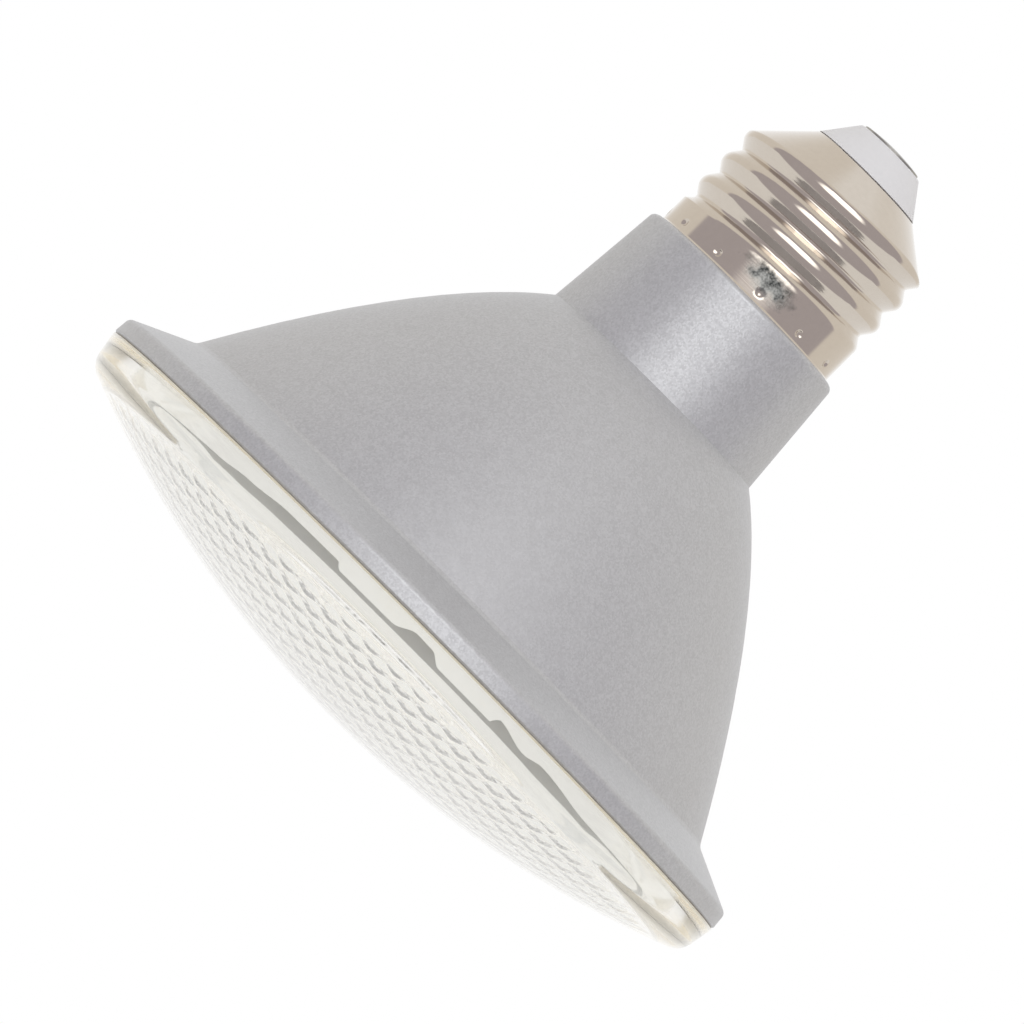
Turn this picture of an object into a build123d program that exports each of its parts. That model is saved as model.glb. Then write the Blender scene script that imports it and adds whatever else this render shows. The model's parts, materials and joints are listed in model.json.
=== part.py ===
from build123d import *
import os
from math import atan2, cos, degrees, hypot, radians, sin, sqrt

# A PAR30 short-neck LED spotlight lamp with a medium (26 mm) screw base, hanging from its base.
# +Z points out of the base, the lens looks down along -Z, and the lamp's axis is Z.
# Every height below is measured up from the joint between lens and housing.
# The finished pieces are lowered by TIP, so that the origin is the tip of the centre contact.

# Driving dimensions, in millimetres
LAMP_DIA = 95.4
LAMP_LENGTH = 90.4
LENS_RISE = 13.5
WALL = 2.2
FIT = 0.2
RIM_R = LAMP_DIA / 2
TIP = LAMP_LENGTH - LENS_RISE

# Housing: rim band, flare, bell and neck, as radius and height
RIM_CORNER = (RIM_R - 0.2, 2.15)
WAIST = (40.15, 5.55)
BELL_PEAK = (26.95, 29.0)
CREASE = (15.45, 38.15)
NECK_TOP = (14.2, 52.75)
RIM_ROUND = 0.8
WAIST_ROUND = 1.2
NECK_ROUND = 0.8
JOINT_CHAMFER = 0.25
MOUTH_R = 45.0
LEDGE_R = 42.6
LEDGE_H = 2.0

# Lens
DOME_R = 125.5
LENS_WALL = 2.6
LENS_DRAFT = 0.16
LENS_ROUND = 2.8
LENS_RING_R = 43.2
LENS_RING_H = 0.8
DIMPLE_PITCH = 3.8
DIMPLE_DEPTH = 0.55
RIDGE_DEPTH = 0.05
DIMPLED_R = 40.6

# Medium screw base
CREST_R = 13.05
ROOT_R = 12.15
COLLAR_R = 13.0
PITCH = 25.4 / 7
SHEET = 0.3
COLLAR_H = 3.6
CREST_WIDTH = 1.1
RIDGE_WIDTH = 2.7
FIRST_CREST_H = 55.6
THREAD_TURNS = 3.75
SHOULDER_H = 67.9
SHELL_END = (7.5, 72.3)
SHOULDER_SLANT = (ROOT_R - SHELL_END[0]) / (SHELL_END[1] - SHOULDER_H)
STAKES = 12
STAKE_R = 0.9
STAKE_DEPTH = 0.22
STAKE_H = 53.9
STAKE_TURN = 3.3

# Tip of the base
TIP_FACE = (4.5, 76.3)
TIP_EDGE = 0.3
CONTACT_R = 4.1
STEM_R = 1.3
STEM_H = 71.5
PLUG_R = 8.2
PLUG_H = 69.6
PLUG_SHOULDER = (7.0, 71.75)

# Spigot that carries the shell, and the bore for the driver
SPIGOT_TOP = 65.0
BORE_R = 10.3
BORE_H = 53.0
NECK_BORE = (12.0, 50.5)

# Light engine: board, reflector and heat sink
BOARD_FACE = 26.3
BOARD_T = 1.2
BOARD_R = 17.3
SINK_T = 2.0
SINK_WALL = 1.4
SKIRT_H = 15.0
THROAT_R = 15.0
BOWL_R = 38.8
BOWL_WALL = 1.1
LED_SIZE = 3.0
LED_T = 0.75
LED_WINDOW = 2.2
LED_RINGS = ((4, 3.4, 45.0), (8, 9.4, 22.5))
SCREW_RING = 12.5
SCREW_R = 1.25
HEAD_R = 2.2
HEAD_T = 1.4
WIRE_HOLE_R = 0.9
SINK_FACE = BOARD_FACE + BOARD_T
SINK_TOP = SINK_FACE + SINK_T

# Driver in the neck: a board on edge, with its tall parts on the side away from its solder face
DRIVER_W = 17.6
DRIVER_T = 1.2
DRIVER_FACE = 3.0
DRIVER_LOW = 33.0
DRIVER_TOP = 62.0
RAIL_LOW = 40.0
RAIL_TOP = 51.0
RAIL_IN = 7.8
RAIL_LIP = 1.2
DRIVER_BACK = DRIVER_FACE + DRIVER_T

# Parts on the driver board: cans, choke, fuse and transformer
CAN_R = 4.0
CAN_GROOVE = 0.4
BULK_FOOT = 52.3
BULK_LENGTH = 11.5
OUTPUT_H = 34.4
OUTPUT_LENGTH = 11.0
CHOKE_R = 3.0
CHOKE_CORE_R = 2.4
CHOKE_FLANGE = 1.2
CHOKE_SPAN = (33.5, 41.5)
FUSE_R = 1.5
FUSE_LENGTH = 8.0
FUSE_H = 55.0
CORE_SIZE = (13.0, 6.0, 12.0)
CORE_LEG = 3.0
CORE_YOKE = 2.2
CORE_H = 45.5

# Flat parts on the board's back: width, depth off the board, foot height and height
FLAT_PARTS = {
    "driver_ic": (4.9, 1.5, 41.6, 3.8),
    "film_capacitor": (9.0, 4.4, 45.5, 7.0),
    "bridge_rectifier": (4.8, 1.6, 57.5, 3.9),
}

# Leads
WIRE_R = 0.55
WIRE_BEND = 2.0
PAD_X = 6.0
PAD_H = 57.0
LIVE_TURNS = (64.5, 68.2)
LED_PAD_X = 4.3
LED_PAD_H = 38.0


def turned(*edges):
    """A solid of revolution about Z whose closed outline is drawn as (radius, height)."""
    return revolve(Plane.XZ * make_face(Curve() + list(edges)), Axis.Z)


def ring_edges(solid, *places):
    """The round edges of a turned solid that pass through the given (radius, height) places."""
    return [solid.edges().sort_by_distance((0, r, h))[0] for r, h in places]


def slab(low, high, radius=RIM_R):
    """A disc between two heights, used to trim turned solids."""
    return Pos(0, 0, low) * Cylinder(radius, high - low, align=(Align.CENTER, Align.CENTER, Align.MIN))


def rod(x, y, low, high, radius):
    """An upright cylinder."""
    return Pos(x, y, low) * Cylinder(radius, high - low, align=(Align.CENTER, Align.CENTER, Align.MIN))


def block(x, y, h):
    """A box given by its (low, high) span along each axis."""
    size = [high - low for low, high in (x, y, h)]
    middle = [(high + low) / 2 for low, high in (x, y, h)]
    return Pos(*middle) * Box(*size)


def bell_points(depth):
    """Start, control point and end of the bell's parabolic section, at a depth inside its outer face."""
    start, peak, end = Vector(*WAIST), Vector(*BELL_PEAK), Vector(*CREASE)
    first = (peak - start).normalized().rotate(Axis.Z, 90)
    last = (end - peak).normalized().rotate(Axis.Z, 90)
    middle = (first + last) / (1 + first.dot(last))
    return start + first * depth, peak + middle * depth, end + last * depth


def bell_core(depth):
    """The solid that fills the bell up to a depth inside its outer face."""
    start, peak, end = bell_points(depth)
    axis_low, axis_high = (0, start.Y), (0, end.Y)
    return turned(Bezier(start, peak, end), Polyline(end, axis_high, axis_low, start))


def driver_rails():
    """Two slotted rails on the neck's inner wall that hold the driver board by its edges."""
    reach = NECK_BORE[0] + WALL / 2
    lips = (DRIVER_FACE - RAIL_LIP, DRIVER_BACK + RAIL_LIP)
    slot = block((-DRIVER_W / 2, DRIVER_W / 2), (DRIVER_FACE, DRIVER_BACK), (RAIL_LOW, RAIL_TOP))
    right = block((RAIL_IN, reach), lips, (RAIL_LOW, RAIL_TOP))
    left = block((-reach, -RAIL_IN), lips, (RAIL_LOW, RAIL_TOP))
    return right + left - slot


def neutral_notch():
    """The notch in the spigot's rim through which the neutral lead reaches the shell."""
    cut = block((0, MOUTH_R), (-WIRE_R, WIRE_R), (SPIGOT_TOP - 2 * WIRE_R, TIP))
    return Rot(0, 0, degrees(atan2(DRIVER_FACE - WIRE_R, -PAD_X))) * cut


def housing():
    inner_start, inner_peak, inner_end = bell_points(WALL)
    outside = Polyline((MOUTH_R, 0), (RIM_R, 0), RIM_CORNER, WAIST)
    bell = Bezier(WAIST, BELL_PEAK, CREASE)
    collar_r = COLLAR_R - SHEET
    root_r = ROOT_R - SHEET
    collar_top = NECK_TOP[1] + COLLAR_H
    neck = Polyline(
        CREASE, NECK_TOP, (collar_r, NECK_TOP[1]), (collar_r, collar_top),
        (root_r, collar_top + collar_r - root_r), (root_r, SPIGOT_TOP), (BORE_R, SPIGOT_TOP),
        (BORE_R, BORE_H), NECK_BORE, inner_end,
    )
    hollow = Bezier(inner_start, inner_peak, inner_end)
    mouth = Polyline(inner_start, (LEDGE_R, LEDGE_H), (MOUTH_R, LEDGE_H), (MOUTH_R, 0))
    shell = turned(outside, bell, neck, hollow, mouth)
    shell = fillet(ring_edges(shell, RIM_CORNER), RIM_ROUND)
    shell = fillet(ring_edges(shell, WAIST), WAIST_ROUND)
    shell = fillet(ring_edges(shell, NECK_TOP), NECK_ROUND)
    shell = chamfer(ring_edges(shell, (RIM_R, 0)), JOINT_CHAMFER)
    return shell + driver_rails() - neutral_notch()


def dome_height(radius, dome_r):
    """Height of a dome about the lens's own centre at a distance from the axis."""
    return DOME_R - LENS_RISE - sqrt(dome_r**2 - radius**2)


def dimple_places():
    """Centres of a staggered lattice, its rows along X, inside the dimpled zone."""
    row_step = DIMPLE_PITCH * sqrt(3) / 2
    rows = int(DIMPLED_R / row_step)
    columns = int(DIMPLED_R / DIMPLE_PITCH) + 1
    places = []
    for row in range(-rows, rows + 1):
        for column in range(-columns, columns + 1):
            x = (column + (row % 2) / 2) * DIMPLE_PITCH
            y = row * row_step
            if hypot(x, y) < DIMPLED_R:
                places.append((x, y))
    return places


def facet(*corners):
    """A flat face with straight edges."""
    return Face(Wire.make_polygon(corners))


def dimple_cutter(inner_r):
    """One tool for all the pits: six facets to a pit, with walls and a lid that stand clear of the lens."""
    reach = DIMPLE_PITCH / sqrt(3)
    facets = []
    outline = {}
    for x, y in dimple_places():
        bottom = Vector(x, y, dome_height(hypot(x, y), inner_r) - DIMPLE_DEPTH)
        corners = []
        for number in range(6):
            angle = radians(30 + 60 * number)
            corner_x, corner_y = x + reach * cos(angle), y + reach * sin(angle)
            ridge = dome_height(hypot(corner_x, corner_y), inner_r) - RIDGE_DEPTH
            corners.append(Vector(corner_x, corner_y, ridge))
        for first, second in zip(corners, corners[1:] + corners[:1]):
            facets.append(facet(bottom, first, second))
            key = tuple(round(value, 3) for value in first + second)
            outline[key] = None if key in outline else (first, second)
    lid = []
    for edge in outline.values():
        if edge:
            first, second = edge
            first_up, second_up = Vector(first.X, first.Y, 0), Vector(second.X, second.Y, 0)
            facets.append(facet(first, second, second_up, first_up))
            lid.append(Edge.make_line(first_up, second_up))
    facets.append(Face(Wire(lid)))
    return Solid(Shell(facets))


def lens():
    inner_r = DOME_R - LENS_WALL
    ring_low = dome_height(LENS_RING_R, inner_r)
    edge = RIM_R - LENS_DRAFT * -dome_height(RIM_R - 1, DOME_R)
    edge_corner = (edge, dome_height(edge, DOME_R))
    half = RIM_R / 2
    ring_out = MOUTH_R - FIT
    inner_crown = (0, LENS_WALL - LENS_RISE)
    body = turned(
        ThreePointArc((0, -LENS_RISE), (half, dome_height(half, DOME_R)), edge_corner),
        Polyline(edge_corner, (RIM_R, 0), (ring_out, 0), (ring_out, LENS_RING_H)),
        Polyline((ring_out, LENS_RING_H), (LENS_RING_R, LENS_RING_H), (LENS_RING_R, ring_low)),
        ThreePointArc((LENS_RING_R, ring_low), (half, dome_height(half, inner_r)), inner_crown),
        Line(inner_crown, (0, -LENS_RISE)),
    )
    body = fillet(ring_edges(body, edge_corner), LENS_ROUND)
    body = chamfer(ring_edges(body, (RIM_R, 0)), JOINT_CHAMFER)
    return body - dimple_cutter(inner_r)


def shoulder_radius(height, inset):
    """Radius of the shoulder cone at a height, at a depth inside its outer face."""
    return SHELL_END[0] + (SHELL_END[1] - height) * SHOULDER_SLANT - inset * hypot(1, SHOULDER_SLANT)


def shoulder_height(radius, inset):
    """Height at which the same cone has a given radius."""
    return SHELL_END[1] + (shoulder_radius(SHELL_END[1], inset) - radius) / SHOULDER_SLANT


def shell_body(inset):
    """The shell's turned form without its thread, filled to the axis, at a depth inside its outer face."""
    collar_r, root_r = COLLAR_R - inset, ROOT_R - inset
    collar_low, collar_top = NECK_TOP[1], NECK_TOP[1] + COLLAR_H
    end_r = shoulder_radius(SHELL_END[1], inset)
    return turned(Polyline(
        (0, collar_low), (collar_r, collar_low), (collar_r, collar_top),
        (root_r, collar_top + collar_r - root_r), (root_r, shoulder_height(root_r, inset)),
        (end_r, SHELL_END[1]), (0, SHELL_END[1]), (0, collar_low),
    ))


def thread_ridge(inset):
    """One right-hand helical ridge with sloping flanks, at a depth inside its outer face."""
    root = ROOT_R - inset - FIT
    crest = CREST_R - inset
    flank = (RIDGE_WIDTH - CREST_WIDTH) / 2 / (CREST_R - ROOT_R)
    top = (CREST_WIDTH - inset) / 2
    foot = (RIDGE_WIDTH - inset) / 2 + FIT * flank
    path = Helix(PITCH, THREAD_TURNS * PITCH, root, center=(0, 0, FIRST_CREST_H))
    section = make_face(Polyline((root, -foot), (crest, -top), (crest, top), (root, foot), (root, -foot)))
    ridge = sweep(Plane.XZ * Pos(0, FIRST_CREST_H) * section, path=path, is_frenet=True)
    return Rot(0, 0, 180) * ridge


def shell_form(inset):
    """The threaded shell, filled to the axis: its ridge leaves the collar and runs out at the shoulder."""
    far = CREST_R + SHELL_END[0]
    end_r = shoulder_radius(SHELL_END[1], inset)
    beyond = turned(Polyline(
        (end_r, SHELL_END[1]), (far, shoulder_height(far, inset)), (far, SHELL_END[1]), (end_r, SHELL_END[1]),
    ))
    return shell_body(inset) + (thread_ridge(inset) - beyond)


def screw_shell():
    stakes = []
    for number in range(STAKES):
        angle = radians(270 + STAKE_TURN + number * 360 / STAKES)
        reach = COLLAR_R + STAKE_R - STAKE_DEPTH
        stakes.append(Pos(reach * cos(angle), reach * sin(angle), STAKE_H) * Sphere(STAKE_R))
    return shell_form(0) - shell_form(SHEET) - stakes


def base_insulator():
    cone = turned(Polyline(
        (STEM_R, PLUG_H), (PLUG_R, PLUG_H), (PLUG_R, PLUG_SHOULDER[1] - PLUG_R + PLUG_SHOULDER[0]),
        PLUG_SHOULDER, (PLUG_SHOULDER[0], SHELL_END[1]), SHELL_END, TIP_FACE, (STEM_R, TIP_FACE[1]),
        (STEM_R, PLUG_H),
    ))
    return chamfer(ring_edges(cone, TIP_FACE), TIP_EDGE)


def centre_contact():
    contact = rod(0, 0, TIP_FACE[1], TIP, CONTACT_R) + rod(0, 0, STEM_H, TIP, STEM_R)
    return chamfer(ring_edges(contact, (CONTACT_R, TIP)), TIP_EDGE)


def bowl_curve(throat, mouth):
    """A paraboloid's section about the axis through two (radius, height) points."""
    (low_r, low_h), (high_r, high_h) = throat, mouth
    width = (high_r**2 - low_r**2) / (low_h - high_h)
    vertex = low_h + low_r**2 / width
    return Bezier(throat, ((low_r + high_r) / 2, vertex - low_r * high_r / width), mouth)


def reflector():
    throat = (THROAT_R, BOARD_FACE)
    mouth = (BOWL_R, LENS_RING_H)
    back_throat = (THROAT_R + BOWL_WALL, BOARD_FACE)
    back_mouth = (BOWL_R + BOWL_WALL / 2, LEDGE_H)
    flange_r = MOUTH_R - FIT
    flange = Polyline(mouth, (flange_r, LENS_RING_H), (flange_r, LEDGE_H), back_mouth)
    return turned(
        bowl_curve(throat, mouth), flange, bowl_curve(back_throat, back_mouth), Line(back_throat, throat)
    )


def screw_places():
    return [(SCREW_RING, 0), (-SCREW_RING, 0)]


def wire_places():
    return [(LED_PAD_X, DRIVER_BACK + WIRE_R), (-LED_PAD_X, DRIVER_BACK + WIRE_R)]


def heat_sink():
    cup = bell_core(WALL) & slab(SKIRT_H, SINK_TOP)
    cup -= bell_core(WALL + SINK_WALL) & slab(SKIRT_H, SINK_FACE)
    for x, y in screw_places():
        cup -= rod(x, y, SINK_FACE, SINK_TOP, SCREW_R)
    for x, y in wire_places():
        cup -= rod(x, y, SINK_FACE, SINK_TOP, WIRE_HOLE_R)
    return cup


def led_board():
    board = slab(BOARD_FACE, SINK_FACE, BOARD_R)
    for x, y in screw_places():
        board -= rod(x, y, BOARD_FACE, SINK_FACE, SCREW_R + FIT)
    for x, y in wire_places():
        board -= rod(x, y, BOARD_FACE, SINK_FACE, WIRE_HOLE_R)
    return board


def leds():
    """The LED packages on their two rings, each a square body with a recessed phosphor window."""
    half = LED_SIZE / 2
    window = LED_WINDOW / 2
    low = BOARD_FACE - LED_T
    body = block((-half, half), (-half, half), (low, BOARD_FACE))
    body -= block((-window, window), (-window, window), (low, low + FIT))
    packages = {}
    for count, ring, turn in LED_RINGS:
        for number in range(count):
            place = Rot(0, 0, turn + number * 360 / count) * Pos(ring, 0, 0)
            packages[f"led_{len(packages) + 1:02d}"] = place * body
    return packages


def board_screws():
    screws = []
    for x, y in screw_places():
        head = rod(x, y, BOARD_FACE - HEAD_T, BOARD_FACE, HEAD_R)
        screws.append(head + rod(x, y, BOARD_FACE, SINK_TOP, SCREW_R))
    return Compound(children=[screw.solid() for screw in screws])


def driver_board():
    return block((-DRIVER_W / 2, DRIVER_W / 2), (DRIVER_FACE, DRIVER_BACK), (DRIVER_LOW, DRIVER_TOP))


def can(length):
    """An aluminium capacitor can along Z with the crimped groove near its foot."""
    low, high = 2 * CAN_GROOVE, 3.5 * CAN_GROOVE
    groove = rod(0, 0, low, high, CAN_R) - rod(0, 0, low, high, CAN_R - CAN_GROOVE)
    return rod(0, 0, 0, length, CAN_R) - groove


def transformer():
    """Core of two E halves about a centre leg, and the winding that fills its windows."""
    width, depth, height = CORE_SIZE
    window_h = height - 2 * CORE_YOKE
    coil = width - CORE_LEG - FIT
    window = block((CORE_LEG / 2, (width - CORE_LEG) / 2), (-depth, depth), (-window_h / 2, window_h / 2))
    core = Box(width, depth, height) - window - mirror(window, Plane.YZ)
    winding = Box(coil, coil, window_h) - Box(CORE_LEG, depth, window_h)
    winding = fillet(winding.edges().filter_by(Axis.Z).sort_by_distance((0, 0, 0))[-4:], CORE_LEG / 2)
    place = Pos(0, DRIVER_FACE - coil / 2, CORE_H)
    return place * core, place * winding


def driver_parts():
    """Everything on the driver board, the tall parts on its front and the others on its back."""
    low, high = CHOKE_SPAN
    can_y = DRIVER_FACE - CAN_R
    choke_y = DRIVER_BACK + CHOKE_R
    choke = rod(0, choke_y, low, low + CHOKE_FLANGE, CHOKE_R) + rod(0, choke_y, low, high, CHOKE_CORE_R)
    choke += rod(0, choke_y, high - CHOKE_FLANGE, high, CHOKE_R)
    core, winding = transformer()
    lying = Rot(0, 90, 0)
    parts = {
        "bulk_capacitor": Pos(0, can_y, BULK_FOOT) * can(BULK_LENGTH),
        "output_capacitor": Pos(-OUTPUT_LENGTH / 2, can_y, OUTPUT_H) * lying * can(OUTPUT_LENGTH),
        "fuse_resistor": Pos(0, DRIVER_BACK + FUSE_R, FUSE_H) * lying * Cylinder(FUSE_R, FUSE_LENGTH),
        "filter_choke": choke,
        "transformer_core": core,
        "transformer_winding": winding,
    }
    for name, (width, depth, foot, height) in FLAT_PARTS.items():
        off_board = (DRIVER_BACK, DRIVER_BACK + depth)
        parts[name] = block((-width / 2, width / 2), off_board, (foot, foot + height))
    return parts


def lead(*points):
    """A round insulated lead along straight runs joined by arcs."""
    path = FilletPolyline(*points, radius=WIRE_BEND)
    return sweep(Plane(path @ 0, z_dir=path % 0) * Circle(WIRE_R), path=path)


def leads():
    """Two leads from the base to the driver, and two straight ones from the driver to the LED board."""
    front = DRIVER_FACE - WIRE_R
    rise = SPIGOT_TOP - WIRE_R
    low, high = LIVE_TURNS
    pad = Vector(-PAD_X, front)
    shell_end = pad.normalized() * (ROOT_R - SHEET - FIT / 10)
    pieces = {
        "live_lead": lead((PAD_X, front, PAD_H), (PAD_X, front, low), (0, 0, high), (0, 0, STEM_H)),
        "neutral_lead": lead((pad.X, pad.Y, PAD_H), (pad.X, pad.Y, rise), (shell_end.X, shell_end.Y, rise)),
    }
    for pole, (x, y) in zip(("positive", "negative"), wire_places()):
        pieces[f"led_lead_{pole}"] = rod(x, y, BOARD_FACE - WIRE_R, LED_PAD_H, WIRE_R)
    return pieces


def lamp():
    """Every piece of the lamp by name."""
    pieces = {
        "housing": housing(),
        "lens": lens(),
        "screw_shell": screw_shell(),
        "base_insulator": base_insulator(),
        "centre_contact": centre_contact(),
        "reflector": reflector(),
        "heat_sink": heat_sink(),
        "led_board": led_board(),
        "board_screws": board_screws(),
        "driver_board": driver_board(),
    }
    pieces.update(leds())
    pieces.update(driver_parts())
    pieces.update(leads())
    return pieces


os.makedirs("parts", exist_ok=True)
for name, piece in lamp().items():
    export_step(Pos(0, 0, -TIP) * piece, f"parts/{name}.step")
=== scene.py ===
# %% [markdown]
# A short-neck LED spotlight lamp of the PAR30 kind, hanging from its screw base.
# The CAD model is loaded first, as a fixed frame in metres: +Z points out of the base, the lens looks down
# along -Z, and the origin is the tip of the centre contact. Pieces whose CAD shape is right keep it and get
# a better finish. The lens, the screw shell, the insulator and the contact are made again here, with the
# fine forms that catch the light, and a bead of sealant, grey as painted shade, is added behind the rim of
# the lens.

import json
import math
import bpy
from mathutils import Matrix, Vector


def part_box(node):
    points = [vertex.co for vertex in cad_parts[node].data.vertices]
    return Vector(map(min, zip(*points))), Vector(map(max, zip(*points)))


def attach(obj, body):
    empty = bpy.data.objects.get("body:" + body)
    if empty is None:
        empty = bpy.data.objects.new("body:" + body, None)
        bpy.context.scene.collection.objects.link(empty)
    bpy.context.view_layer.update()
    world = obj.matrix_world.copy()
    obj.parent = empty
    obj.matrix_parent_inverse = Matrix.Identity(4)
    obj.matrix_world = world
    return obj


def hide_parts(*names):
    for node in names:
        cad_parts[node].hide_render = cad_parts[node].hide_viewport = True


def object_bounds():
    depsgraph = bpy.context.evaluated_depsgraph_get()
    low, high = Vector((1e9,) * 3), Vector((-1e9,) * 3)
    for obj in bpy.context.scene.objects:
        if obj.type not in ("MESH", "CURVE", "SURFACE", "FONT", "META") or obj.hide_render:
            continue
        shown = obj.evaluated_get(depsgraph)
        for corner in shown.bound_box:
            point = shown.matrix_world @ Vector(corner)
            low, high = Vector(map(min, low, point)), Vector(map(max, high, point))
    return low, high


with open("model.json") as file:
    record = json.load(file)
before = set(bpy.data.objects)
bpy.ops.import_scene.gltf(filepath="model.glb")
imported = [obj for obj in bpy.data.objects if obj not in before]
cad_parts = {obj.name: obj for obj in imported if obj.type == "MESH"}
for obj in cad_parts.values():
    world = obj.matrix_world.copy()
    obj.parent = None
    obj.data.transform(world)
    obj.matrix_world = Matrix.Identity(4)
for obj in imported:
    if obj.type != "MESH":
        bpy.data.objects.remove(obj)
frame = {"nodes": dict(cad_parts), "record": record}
nodes = frame["nodes"]
cad_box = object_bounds()
MM = 0.001
print("pieces in the frame:", len(nodes))
print("CAD box in mm:", [[round(value / MM, 1) for value in corner] for corner in cad_box])

# %% [markdown]
# The photograph looks at the lamp almost square from the side, from far away, with the lamp turned by 45
# degrees in the picture. A long focal length from 1.8 m gives the same flat perspective. The camera could be
# turned with Euler angles, but its three axes are easier to state directly: the picture's up direction lies
# half way between the base and the lamp's left side.

# %% The camera
JOINT_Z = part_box("housing")[0].z
CAMERA_DISTANCE = 1.8
CAMERA_DROP = 47.0 * MM
CAMERA_REACH = 50.0
AIM = Vector((-1.56 * MM, 0, JOINT_Z + 17.35 * MM))
PICTURE_WIDTH = 115.5 * MM
SENSOR_MM = 36.0

camera = bpy.data.objects.new("camera", bpy.data.cameras.new("camera"))
bpy.context.scene.collection.objects.link(camera)
camera.data.sensor_width = SENSOR_MM
camera.data.lens = SENSOR_MM * CAMERA_DISTANCE / PICTURE_WIDTH
camera.data.clip_end = CAMERA_REACH
eye = Vector((AIM.x, -CAMERA_DISTANCE, JOINT_Z - CAMERA_DROP))
back = (eye - AIM).normalized()
right = Vector((-1, 0, 1)).cross(back).normalized()
up = back.cross(right)
camera.matrix_world = Matrix((right, up, back)).transposed().to_4x4()
camera.location = eye
bpy.context.scene.camera = camera
print("focal length in mm:", round(camera.data.lens))

# %% [markdown]
# Every material is a small network of nodes. One helper adds a node, sets its options and fills its inputs,
# with a link where the value is another node's output. Colours are written as the hex codes that a paint
# program shows, and turned to the linear light that Blender works in.


# %% Helpers for nodes and colours
def add(tree, kind, inputs=None, **options):
    node = tree.nodes.new(kind)
    for name, value in options.items():
        setattr(node, name, value)
    for name, value in (inputs or {}).items():
        if isinstance(value, bpy.types.NodeSocket):
            tree.links.new(value, node.inputs[name])
        else:
            node.inputs[name].default_value = value
    return node


def linear(code):
    channels = [int(code[place:place + 2], 16) / 255 for place in (1, 3, 5)]
    return [c / 12.92 if c <= 0.04045 else ((c + 0.055) / 1.055) ** 2.4 for c in channels] + [1.0]


print("a mid grey, as linear light:", [round(value, 3) for value in linear("#808080")])

# %% [markdown]
# The studio is a tent of warm white cloth with a bright white sweep behind the lamp. It has an opening on the
# camera's side, where bright metal mirrors the greyer room, and in it a white panel above the camera. The
# world shader paints this by direction: every shape is an oval, in degrees across and up from the camera's
# side. Camera rays and rays that passed the lens see plain white, so the background is white from every side,
# in the clear lens too. Glossy rays see the tent, so metal mirrors it.

# %% The light tent
CLOTH = "#f6f2ec"
SWEEP_EDGE = (145.0, 165.0)
SWEEP_LIGHT = 1.05
ROOM = "#c4bfc4"
ROOM_REACH = (95.0, 68.0)
ROOM_EDGE = 0.06
PANEL_REACH = (29.0, 21.0)
PANEL_EDGE = 0.45
PANEL_LIFT = 26.0
PANEL_LIGHT = 2.3

bpy.context.scene.view_settings.view_transform = "Standard"
# Light is turned back many times inside a clear lens over a mirror bowl, so more bounces are followed
bpy.context.scene.cycles.max_bounces = 32
bpy.context.scene.cycles.diffuse_bounces = 8
bpy.context.scene.cycles.glossy_bounces = 17
bpy.context.scene.cycles.transmission_bounces = 32
# The glossy filter blurs clear surfaces seen from a matt one, which darkens what lies inside the lens
bpy.context.scene.cycles.blur_glossy = 0.0
world = bpy.data.worlds.new("light_tent")
bpy.context.scene.world = world
world.use_nodes = True
tent = world.node_tree
tent.nodes.clear()
direction = add(tent, "ShaderNodeTexCoord").outputs["Generated"]
axes = add(tent, "ShaderNodeSeparateXYZ", {"Vector": direction}).outputs
toward = add(tent, "ShaderNodeMath", {0: axes["Y"], 1: -1.0}, operation="MULTIPLY").outputs[0]
across = add(tent, "ShaderNodeMath", {0: axes["X"], 1: toward}, operation="ARCTAN2").outputs[0]
upward = add(tent, "ShaderNodeMath", {0: axes["Z"]}, operation="ARCSINE").outputs[0]
sight = add(tent, "ShaderNodeCombineXYZ", {"X": across, "Y": upward}).outputs[0]


def oval(reach, soft, lift=0.0):
    raised = (0, math.radians(lift), 0)
    shifted = add(tent, "ShaderNodeVectorMath", {0: sight, 1: raised}, operation="SUBTRACT").outputs[0]
    shrink = [1 / math.radians(angle) for angle in reach] + [0]
    scaled = add(tent, "ShaderNodeVectorMath", {0: shifted, 1: shrink}, operation="MULTIPLY").outputs[0]
    squared = add(tent, "ShaderNodeVectorMath", {0: scaled, 1: scaled}, operation="MULTIPLY").outputs[0]
    away = add(tent, "ShaderNodeVectorMath", {0: squared}, operation="LENGTH").outputs["Value"]
    limits = {"Value": away, "From Min": 1 + soft, "From Max": 1 - soft}
    return add(tent, "ShaderNodeMapRange", limits, interpolation_type="SMOOTHSTEP").outputs[0]


# Inputs 6 and 7 of a colour Mix node are its two colours, and output 2 is the mixed one
turned = add(tent, "ShaderNodeMath", {0: across}, operation="ABSOLUTE").outputs[0]
near, far = [math.radians(angle) for angle in SWEEP_EDGE]
limits = {"Value": turned, "From Min": near, "From Max": far}
behind = add(tent, "ShaderNodeMapRange", limits, interpolation_type="SMOOTHSTEP").outputs[0]
rays = add(tent, "ShaderNodeLightPath").outputs
white_rays = {0: rays["Is Camera Ray"], 1: rays["Is Transmission Ray"]}
plain = add(tent, "ShaderNodeMath", white_rays, operation="ADD").outputs[0]
studio = linear(CLOTH)
for share, colour in (
    (behind, [SWEEP_LIGHT, SWEEP_LIGHT, SWEEP_LIGHT, 1.0]),
    (oval(ROOM_REACH, ROOM_EDGE), linear(ROOM)),
    (oval(PANEL_REACH, PANEL_EDGE, PANEL_LIFT), [PANEL_LIGHT, PANEL_LIGHT, PANEL_LIGHT, 1.0]),
    (plain, linear("#ffffff")),
):
    studio = add(tent, "ShaderNodeMix", {0: share, 6: studio, 7: colour}, data_type="RGBA").outputs[2]
backdrop = add(tent, "ShaderNodeBackground", {"Color": studio, "Strength": 1.0}).outputs[0]
add(tent, "ShaderNodeOutputWorld", {"Surface": backdrop})
print("light tent:", len(tent.nodes), "nodes")
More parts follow.
